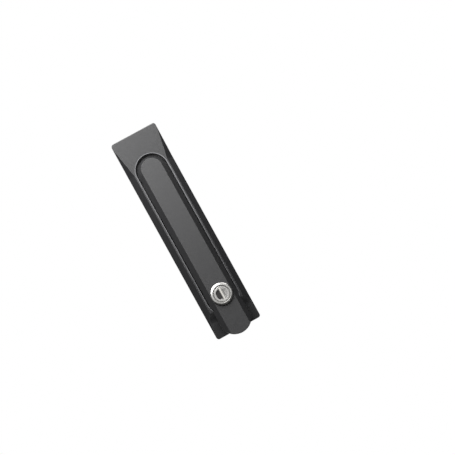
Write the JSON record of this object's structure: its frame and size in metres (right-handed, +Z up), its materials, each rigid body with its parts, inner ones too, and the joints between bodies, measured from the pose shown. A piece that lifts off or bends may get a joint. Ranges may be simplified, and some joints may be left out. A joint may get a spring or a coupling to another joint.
{
  "type": "swing-handle rack lock",
  "caption": "Slim black swing-handle lock for a rack or cabinet door: a lever in a long dish, a keyed cylinder near its low end and a two-rod drive plate behind.",
  "frame": {"origin": "centre of the dish's rear face, which lies on the door panel", "axes": "+Z up the door along the lock's length, +Y into the cabinet, the handle faces -Y"},
  "size_m": [0.038, 0.0558, 0.1731],
  "materials": {
    "dish_plastic": "finely textured black",
    "lever_coat": "finely textured black powder coat",
    "rubber": "matt black",
    "bush_plastic": "smooth white acetal",
    "zinc_steel": "bright zinc plate",
    "spring_steel": "plain spring steel",
    "nickel": "satin nickel plate",
    "brass": "plain turned brass"
  },
  "bodies": {
    "dish": {"dish_body": "dish_plastic", "panel_gasket": "rubber", "thread_inserts": "brass", "spindle_bush": "bush_plastic"},
    "spindle": {"spindle": "zinc_steel", "spindle_oring": "rubber", "thrust_washer": "zinc_steel", "retaining_ring": "spring_steel", "stop_disc": "zinc_steel", "rod_plate": "zinc_steel", "rod_pins": "zinc_steel", "plate_washer": "zinc_steel", "plate_screw": "zinc_steel", "pop_spring": "spring_steel"},
    "lever": {"handle_lever": "lever_coat", "hinge_pin": "spring_steel", "lock_sleeve": "nickel", "lock_seal": "rubber", "sleeve_clip": "spring_steel"},
    "plug": {"lock_plug": "nickel", "flap_spring": "spring_steel", "lock_tongue": "zinc_steel", "tongue_screw": "zinc_steel"},
    "wafers": {"wafers": "brass"},
    "flap": {"keyway_flap": "nickel"}
  },
  "joints": [
    {"name": "handle_swing", "type": "hinge", "parent": "dish", "child": "spindle", "pos_m": [0, 0, 0.0535], "axis": [0, -1, 0], "range_deg": [0, 90]},
    {"name": "handle_lift", "type": "hinge", "parent": "spindle", "child": "lever", "pos_m": [0, -0.0045, 0.0535], "axis": [-1, 0, 0], "range_deg": [-3.5, 30], "stiffness_Nm_per_rad": 0.6, "springref_deg": 1.15, "deforming": ["pop_spring"]},
    {"name": "key_turn", "type": "hinge", "parent": "lever", "child": "plug", "pos_m": [0, -0.01963, -0.05458], "axis": [0, 0.9981, -0.061], "range_deg": [0, 90]},
    {"name": "wafer_slide", "type": "slide", "parent": "plug", "child": "wafers", "axis": [0, 0.061, 0.9981], "range_m": [0, 0.0009]},
    {"name": "flap_turn", "type": "hinge", "parent": "plug", "child": "flap", "pos_m": [-0.0002, -0.02125, -0.05418], "axis": [0, 0.061, 0.9981], "range_deg": [0, 80], "stiffness_Nm_per_rad": 0.002, "deforming": ["flap_spring"]}
  ]
}
